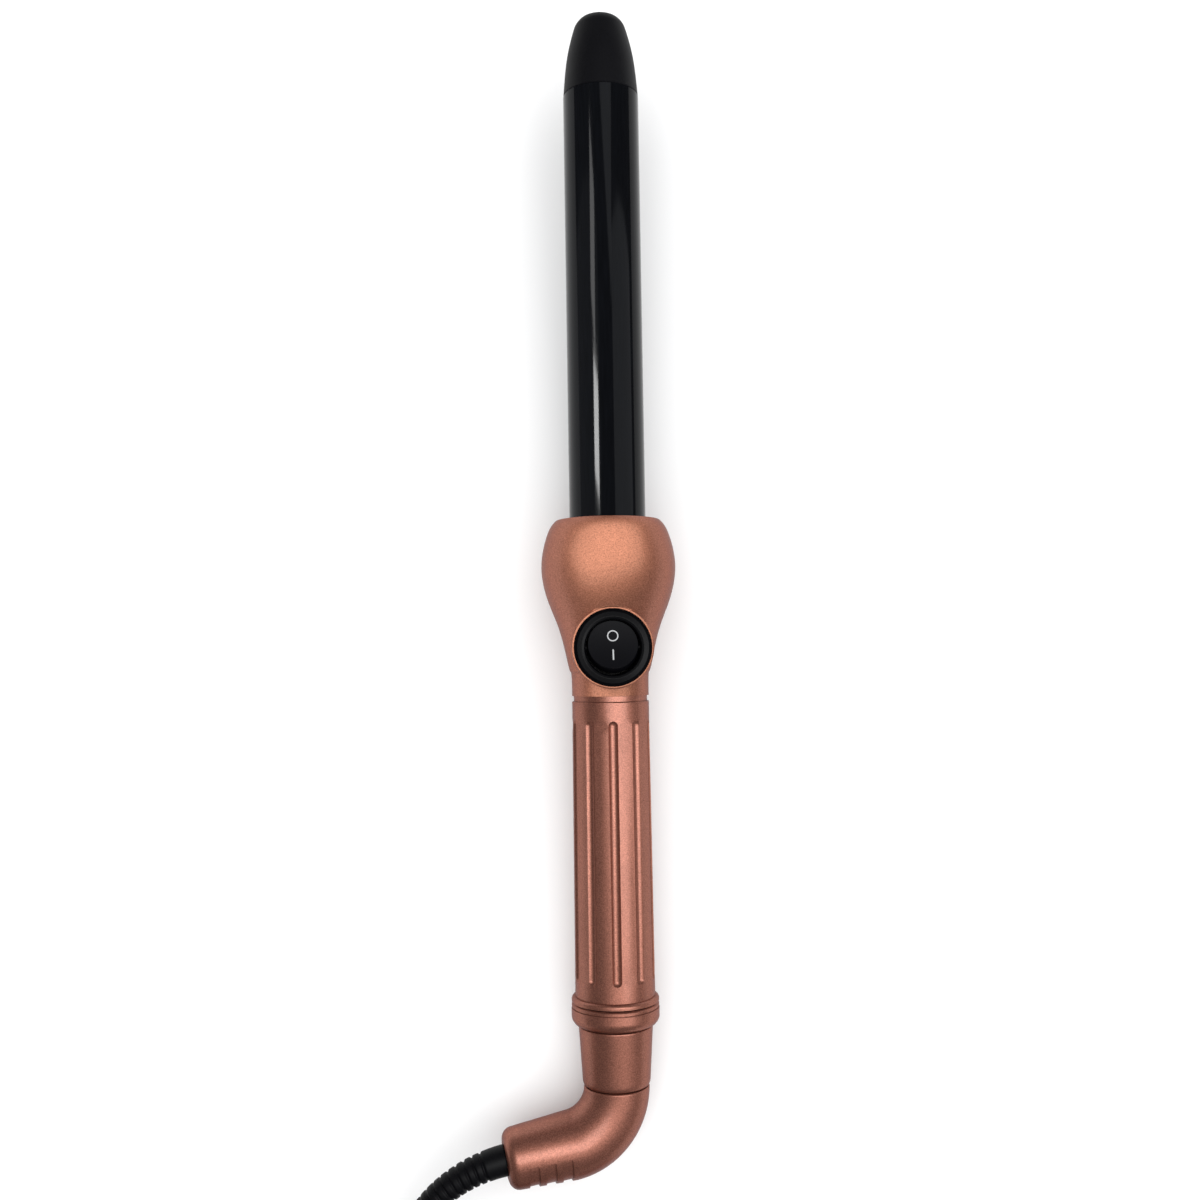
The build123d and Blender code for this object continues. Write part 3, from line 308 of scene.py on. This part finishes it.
along_wand = (1, 0.06, 1)  # draws the grain out along the wand
looks = {
    "copper_paint": dict(
        colour=(0.34, 0.136, 0.095),
        roughness=0.46,
        spread=0.32,
        grain=2600,
        bump=0.3,
        depth=0.00008,
        metallic=0.85,
        coat=0.3,
        edge=(0.15, 0.08, 0.06),
    ),
    "tip_black": dict(
        colour=(0.005, 0.005, 0.0065),
        roughness=0.55,
        spread=0.2,
        grain=2200,
        bump=0.2,
        specular=0.12,
    ),
    "barrel_coating": dict(
        colour=(0.004, 0.0045, 0.006),
        roughness=0.08,
        spread=0.2,
        grain=1200,
        bump=0.02,
        depth=0.00002,
        stretch=along_wand,
        specular=0.12,
    ),
    "holder_tan": dict(colour=(0.40, 0.27, 0.15), roughness=0.6),
    "steel": dict(
        colour=(0.55, 0.55, 0.56),
        roughness=0.28,
        spread=0.1,
        grain=900,
        bump=0.05,
        metallic=1.0,
    ),
    "ceramic": dict(colour=(0.82, 0.80, 0.75), roughness=0.55, spread=0.05),
    "amber_film": dict(colour=(0.55, 0.25, 0.04), roughness=0.25, spread=0.1, grain=400, bump=0.05),
    "aluminium": dict(
        colour=(0.75, 0.75, 0.76),
        roughness=0.32,
        spread=0.08,
        grain=900,
        bump=0.05,
        depth=0.0001,
        stretch=along_wand,
        metallic=1.0,
    ),
    "glass_sleeving": dict(
        colour=(0.78, 0.76, 0.68),
        roughness=0.8,
        spread=0.1,
        grain=900,
        bump=0.5,
    ),
    "switch_black": dict(
        colour=(0.002, 0.002, 0.0028),
        roughness=0.33,
        spread=0.2,
        grain=2400,
        bump=0.08,
        specular=0.08,
    ),
    "rocker_black": dict(
        colour=(0.003, 0.003, 0.0045),
        roughness=0.45,
        spread=0.15,
        grain=2400,
        bump=0.08,
        specular=0.1,
    ),
    "inner_black": dict(colour=(0.02, 0.02, 0.02), roughness=0.55),
    "brass": dict(
        colour=(0.72, 0.52, 0.22),
        roughness=0.25,
        spread=0.1,
        grain=900,
        bump=0.05,
        metallic=1.0,
    ),
    "washer_white": dict(colour=(0.85, 0.85, 0.83), roughness=0.5, spread=0.05),
    "wire_brown": dict(colour=(0.13, 0.05, 0.025), roughness=0.45, spread=0.15),
    "wire_blue": dict(colour=(0.03, 0.10, 0.38), roughness=0.45, spread=0.15),
    "cord_black": dict(
        colour=(0.005, 0.005, 0.006),
        roughness=0.45,
        spread=0.25,
        grain=1500,
        bump=0.15,
        specular=0.25,
    ),
    "sleeve_rubber": dict(
        colour=(0.003, 0.003, 0.004),
        roughness=0.5,
        spread=0.25,
        grain=1800,
        bump=0.2,
        specular=0.12,
    ),
    "tie_rubber": dict(
        colour=(0.018, 0.018, 0.019),
        roughness=0.7,
        spread=0.3,
        grain=700,
        bump=0.5,
    ),
    "plug_black": dict(
        colour=(0.011, 0.011, 0.012),
        roughness=0.42,
        spread=0.25,
        grain=1700,
        bump=0.25,
    ),
    "pin_nickel": dict(
        colour=(0.72, 0.70, 0.66),
        roughness=0.22,
        spread=0.06,
        grain=900,
        bump=0.03,
        metallic=1.0,
    ),
}
finishes = {name: grained(name, **look) for name, look in looks.items()}
mark_white = grained("mark_white", (0.66, 0.67, 0.68), 0.5, spread=0.04, grain=3000, bump=0.03)

# Each solid of the CAD takes the finish of its material slot.
for row in record["subparts"]:
    node = frame["nodes"][row["node"]]
    node.data.materials.clear()
    node.data.materials.append(finishes[row["material_slot"]])
mains_cord.data.materials.append(finishes["cord_black"])


# ---------------------------------------------------------------- pieces
def piece(name, verts, faces, body, slot, material=None):
    """A new smooth piece made of these corners and faces, in its slot's finish or another material."""
    mesh = bpy.data.meshes.new(name)
    mesh.from_pydata([tuple(v) for v in verts], [], faces)
    mesh.materials.append(material or finishes[slot])
    work = bmesh.new()
    work.from_mesh(mesh)
    bmesh.ops.recalc_face_normals(work, faces=work.faces)
    work.to_mesh(mesh)
    work.free()
    for face in mesh.polygons:
        face.use_smooth = True
    obj = bpy.data.objects.new(name, mesh)
    bpy.context.collection.objects.link(obj)
    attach(obj, body)
    return obj


def rings_to_faces(rings, sides, closed=False):
    """Faces that join each ring of corners to the next. An open run of rings has capped ends."""
    faces = []
    spans = rings if closed else rings - 1
    for ring in range(spans):
        after = (ring + 1) % rings
        for k in range(sides):
            n = (k + 1) % sides
            faces.append((ring * sides + k, ring * sides + n, after * sides + n, after * sides + k))
    if not closed:
        faces.append(tuple(range(sides)))
        faces.append(tuple(range((rings - 1) * sides, rings * sides)))
    return faces


def rounded_rectangle(width, height, r, steps=8):
    """The outline of a rectangle with round corners, about its own middle."""
    outline = []
    for side, end, start in ((1, 1, 0), (-1, 1, 90), (-1, -1, 180), (1, -1, 270)):
        for i in range(steps + 1):
            a = math.radians(start + 90 * i / steps)
            x = side * (width / 2 - r) + r * math.cos(a)
            y = end * (height / 2 - r) + r * math.sin(a)
            outline.append((x, y))
    return outline


def lathe(centres, directions, radii, sides):
    """Corners of rings about a line, one ring for each centre."""
    side = directions[0].orthogonal().normalized()
    verts = []
    for centre, direction, radius in zip(centres, directions, radii):
        side = (side - direction * side.dot(direction)).normalized()
        other = direction.cross(side)
        for k in range(sides):
            a = 2 * math.pi * k / sides
            verts.append(centre + (side * math.cos(a) + other * math.sin(a)) * radius)
    return verts


def along_line(line, distance):
    """The point and the direction at a distance along a line of points."""
    gone = 0.0
    for a, b in zip(line, line[1:]):
        step = (b - a).length
        if gone + step >= distance and step > 0:
            return a.lerp(b, (distance - gone) / step), (b - a).normalized()
        gone += step
    return line[-1], (line[-1] - line[-2]).normalized()


# ---------------------------------------------------------------- the strain relief
sleeve_length = 0.0378
sleeve_root_r = 0.00485
sleeve_tip_r = 0.00395
groove_pitch = 0.0026
groove_depth = 0.0006
groove_share = 0.42  # of the pitch
plain_root = 0.0065
plain_tip = 0.002
sleeve_sides = 40
sleeve_steps = 150
lip_length = 0.0003  # the sleeve's end closes down to just inside the cord
lip_inset = 0.0001


def sleeve_radius(distance):
    """The sleeve tapers, and between its plain ends it has round grooves."""
    r = sleeve_root_r + (sleeve_tip_r - sleeve_root_r) * distance / sleeve_length
    phase = ((distance - plain_root) / groove_pitch) % 1.0
    grooved = plain_root <= distance <= sleeve_length - plain_tip
    if not grooved or phase >= groove_share:
        return r
    return r - groove_depth * math.sin(math.pi * phase / groove_share)


def add_sleeve():
    """The strain relief, round the first stretch of the cord."""
    centres, directions, radii = [], [], []
    for i in range(sleeve_steps + 1):
        distance = sleeve_length * i / sleeve_steps
        point, direction = along_line(cord_line, distance)
        centres.append(point)
        directions.append(direction)
        radii.append(sleeve_radius(distance))
    centres.append(centres[-1] + directions[-1] * lip_length)
    directions.append(directions[-1])
    radii.append(cord_diameter / 2 - lip_inset)
    verts = lathe(centres, directions, radii, sleeve_sides)
    faces = rings_to_faces(len(centres), sleeve_sides)
    sleeve = piece("relief_sleeve", verts, faces, "cord_outlet", "sleeve_rubber")
    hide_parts("cord_sleeve")
    return sleeve


relief_sleeve = add_sleeve()

# ---------------------------------------------------------------- marks on the rocker
off_angle = math.radians(14.0)  # how far the rocker's face leans towards the tip at rest
rocker_up = to_tip * math.sin(off_angle) + to_switch * math.cos(off_angle)
rocker_ahead = rocker_up.cross(X)
face_height = 0.0037  # of the dish's lowest line, above the rocker's pivot
dish_r = 0.060
mark_rise = 0.00005
o_at = 0.0028  # where its middle is, towards the tip from the rocker's pivot
o_r = 0.0016
o_stroke = 0.00036
o_sides = 64
i_at = -0.0033
i_width = 0.00044
i_length = 0.0034
corner_share = 0.3  # of the bar's width


def on_rocker(x, y):
    """A point just above the rocker's dished face."""
    height = face_height + dish_r - math.sqrt(dish_r**2 - y**2) + mark_rise
    return rocker_pivot + X * x + rocker_ahead * y + rocker_up * height


def add_marks():
    """The usual O and I of a mains switch, printed on the rocker."""
    verts = []
    for radius in (o_r + o_stroke / 2, o_r - o_stroke / 2):
        for k in range(o_sides):
            a = 2 * math.pi * k / o_sides
            verts.append(on_rocker(radius * math.cos(a), o_at + radius * math.sin(a)))
    faces = []
    for k in range(o_sides):
        n = (k + 1) % o_sides
        faces.append((k, n, o_sides + n, o_sides + k))
    piece("mark_o", verts, faces, "rocker", "rocker_black", mark_white)
    outline = rounded_rectangle(i_width, i_length, i_width * corner_share)
    verts = [on_rocker(x, i_at + y) for x, y in outline]
    piece("mark_i", verts, [tuple(range(len(verts)))], "rocker", "rocker_black", mark_white)


add_marks()

# ---------------------------------------------------------------- the coil's tie
tie_low, tie_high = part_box("cord_tie")
tie_thick = 0.0012
tie_bevel = 0.0001
tie_edge = 0.0003
tie_corner_r = 0.0035  # of the loop's outside


def strap_loop(inset):
    """A closed loop with round corners round the coil's section, in X and Z."""
    width = tie_high.x - tie_low.x - 2 * inset
    height = tie_high.z - tie_low.z - 2 * inset
    centre_x = (tie_high.x + tie_low.x) / 2
    centre_z = (tie_high.z + tie_low.z) / 2
    outline = rounded_rectangle(width, height, tie_corner_r - inset)
    return [(centre_x + x, centre_z + z) for x, z in outline]


def add_tie():
    """A hook-and-loop strap with soft edges, swept round its loop."""
    width = tie_high.y - tie_low.y
    centre_y = (tie_high.y + tie_low.y) / 2
    # The strap's section, as (depth below its outside, place across its width).
    section = [
        (0.0, width / 2 - tie_edge),
        (tie_edge, width / 2),
        (tie_thick - tie_edge, width / 2),
        (tie_thick - tie_bevel, width / 2 - tie_edge),
        (tie_thick - tie_bevel, tie_edge - width / 2),
        (tie_thick - tie_edge, -width / 2),
        (tie_edge, -width / 2),
        (0.0, tie_edge - width / 2),
    ]
    verts = []
    count = len(strap_loop(0.0))
    loops = [(strap_loop(inset), y) for inset, y in section]
    for i in range(count):
        for loop, y in loops:
            x, z = loop[i]
            verts.append(Vector((x, centre_y + y, z)))
    faces = rings_to_faces(count, len(section), closed=True)
    strap = piece("tie_strap", verts, faces, "cord_outlet", "tie_rubber")
    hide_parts("cord_tie")
    return strap


tie_strap = add_tie()

# ---------------------------------------------------------------- ribs on the plug's neck
plug_low, plug_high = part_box("plug_body")
neck_end_r = 0.0043
neck_length = 0.017
neck_flare = 0.0013  # how much wider the neck's other end is
rib_count = 4
first_rib = 0.003  # from the neck's end
rib_spacing = 0.0033
rib_half = 0.0008  # half a rib's length along the neck
rib_rise = 0.0006
rib_sunk = 0.0002  # how far inside the neck a rib begins and ends
rib_sides = 48
rib_rings = 9


def add_plug_ribs():
    """Round ribs where the cord goes into the plug."""
    centre_x = (plug_low.x + plug_high.x) / 2
    centre_z = (plug_low.z + plug_high.z) / 2
    for rib in range(rib_count):
        y = plug_low.y + first_rib + rib * rib_spacing
        neck_r = neck_end_r + neck_flare * (y - plug_low.y) / neck_length
        centres, directions, radii = [], [], []
        for i in range(rib_rings):
            a = math.pi * i / (rib_rings - 1)
            centres.append(Vector((centre_x, y - rib_half * math.cos(a), centre_z)))
            directions.append(Vector((0, 1, 0)))
            radii.append(neck_r - rib_sunk + rib_rise * math.sin(a))
        verts = lathe(centres, directions, radii, rib_sides)
        faces = rings_to_faces(rib_rings, rib_sides)
        piece(f"plug_rib_{rib + 1}", verts, faces, "cord_outlet", "plug_black")


add_plug_ribs()

plug_pieces = ["plug_body", "plug_carrier", "plug_pins", "pin_sleeves"]
plug_pieces += [f"plug_rib_{rib + 1}" for rib in range(rib_count)]


# ---------------------------------------------------------------- floor and light
floor_half = 4.0
floor_drop = 0.0001
floor_white = (0.90, 0.90, 0.90)
floor_roughness = 0.7
floor_specular = 0.2


def add_floor():
    """A plain pale floor, just under the table's level."""
    mesh = bpy.data.meshes.new("floor")
    corners = [(x * floor_half, y * floor_half, 0) for x, y in ((-1, -1), (1, -1), (1, 1), (-1, 1))]
    mesh.from_pydata(corners, [], [(0, 1, 2, 3)])
    mesh.materials.append(shader("floor", floor_white, floor_roughness, specular=floor_specular)[0])
    floor = bpy.data.objects.new("floor", mesh)
    floor.location.z = -floor_drop
    bpy.context.collection.objects.link(floor)
    return floor


def shine_on(light, name, nodes):
    """The light reaches these objects alone, through a collection of this name."""
    group = bpy.data.collections.new(name)
    for node in nodes:
        group.objects.link(node)
    light.light_linking.receiver_collection = group


def add_area(name, place, aim, size, radiance, colour=(1, 1, 1)):
    """A rectangular light at a place, turned to an aim, with its brightness given as radiance."""
    light = bpy.data.lights.new(name, "AREA")
    light.shape = "RECTANGLE"
    light.size, light.size_y = size
    light.energy = radiance * math.pi * size[0] * size[1]
    light.color = colour
    obj = bpy.data.objects.new(name, light)
    bpy.context.collection.objects.link(obj)
    obj.location = place
    obj.rotation_mode = "QUATERNION"
    obj.rotation_quaternion = (Vector(aim) - Vector(place)).to_track_quat("-Z", "Y")
    return obj


warm = (1.0, 0.98, 0.82)
cool = (0.92, 0.95, 1.0)
mid_barrel = (0, 0.08, 0.02)
near_tip = (0, 0.17, 0.03)


def add_lights(floor):
    """A key for most pieces, soft lights for the bulb and floor, and the barrel's own reflections."""
    barrel = frame["nodes"]["barrel_tube"]
    bulb = [frame["nodes"]["bulb_housing"], frame["nodes"]["bulb_cap"]]
    apart = [barrel, floor, *bulb]
    rest = [o for o in bpy.context.scene.objects if o.type in ("MESH", "CURVE") and o not in apart]
    key = add_area("key", (0.27, -0.10, 1.00), (0.01, -0.05, 0), (0.5, 1.2), 5.8)
    shine_on(key, "all_the_rest", rest)
    dome = add_area("dome", (-0.05, 0.30, 0.85), (0.01, 0, 0), (3.0, 1.6), 2.6, warm)
    shine_on(dome, "the_bulb", bulb)
    overhead = add_area("overhead", (0, 0, 2.20), (0, 0, 0), (6.0, 6.0), 1.85)
    shine_on(overhead, "the_floor", [floor])
    reflections = [
        add_area("strip", (-0.53, 0.18, 0.90), mid_barrel, (0.13, 0.24), 45),
        add_area("soft_strip", (-0.60, 0.40, 0.90), mid_barrel, (0.20, 0.22), 8),
        add_area("left_panel", (-0.80, 0.10, 0.55), mid_barrel, (0.7, 1.4), 0.35, cool),
        add_area("right_panel", (0.95, 0.10, 0.80), mid_barrel, (0.8, 1.4), 1.2, cool),
        add_area("top_panel", (0.22, 0.62, 0.90), near_tip, (0.5, 0.5), 1.3, cool),
    ]
    for light in reflections:
        shine_on(light, light.name + "_on_barrel", [barrel])


world_colour = (0.95, 0.97, 1.0)
world_strength = 0.15


def add_world():
    """A faint cool light from all round."""
    world = bpy.data.worlds.new("studio")
    bpy.context.scene.world = world
    world.use_nodes = True
    background = world.node_tree.nodes["Background"]
    background.inputs["Color"].default_value = (*world_colour, 1)
    background.inputs["Strength"].default_value = world_strength


add_lights(add_floor())
add_world()
bpy.context.scene.view_settings.view_transform = "Standard"
